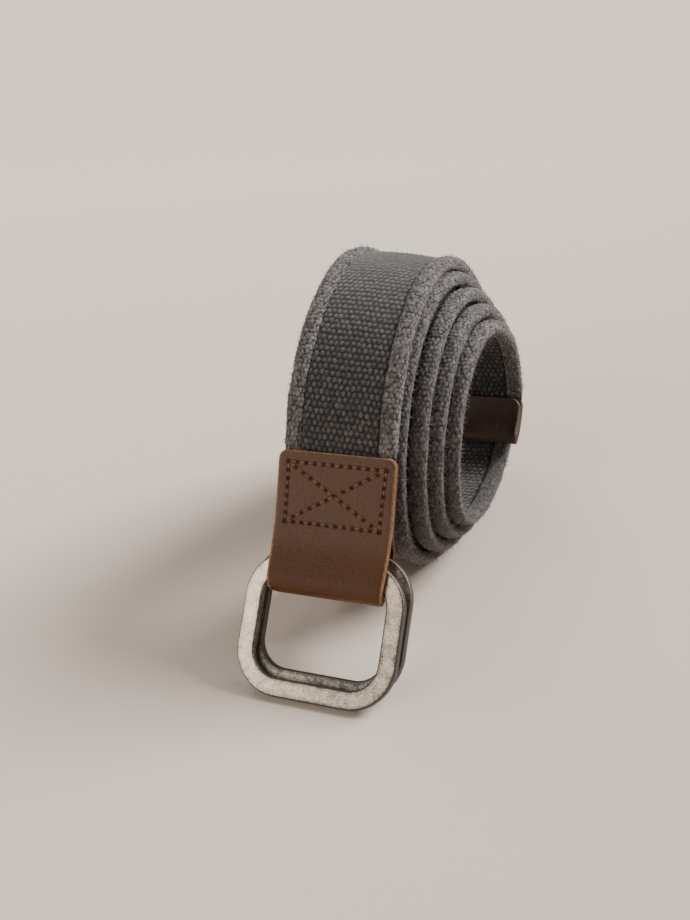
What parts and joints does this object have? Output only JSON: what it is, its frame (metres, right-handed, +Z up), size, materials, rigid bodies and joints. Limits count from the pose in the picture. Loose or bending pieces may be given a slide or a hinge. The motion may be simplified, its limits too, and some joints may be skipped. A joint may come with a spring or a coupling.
{
  "type": "rolled webbing belt",
  "caption": "Rolled canvas belt standing on its round side: thick-edged woven strap, stitched leather tab folded round flat metal rings, leather tip inside the roll.",
  "frame": {"origin": "middle of the underside of the part's box, on the floor it rests on", "axes": "+Z up, +Y away from the viewer along the roll from the rings to the back, +X across the strap towards the side where the inner turns stand out"},
  "size_m": [0.0622, 0.1634, 0.1011],
  "materials": {
    "webbing": "coarse woven cotton",
    "leather": "brown, satin, with raw edges",
    "ring_metal": "antiqued satin nickel"
  },
  "bodies": {
    "belt": {"webbing_strap": "webbing", "leather_tab": "leather", "leather_tip": "leather"},
    "ring_front": {"ring_front": "ring_metal"},
    "ring_rear": {"ring_rear": "ring_metal"}
  },
  "joints": [
    {"name": "ring_front_swing", "type": "hinge", "parent": "belt", "child": "ring_front", "pos_m": [-0.00445, -0.05282, 0.03187], "axis": [1, 0, 0], "range_deg": [-6, 0]},
    {"name": "ring_rear_swing", "type": "hinge", "parent": "belt", "child": "ring_rear", "pos_m": [-0.00325, -0.048, 0.03168], "axis": [1, 0, 0], "range_deg": [0, 12]}
  ]
}
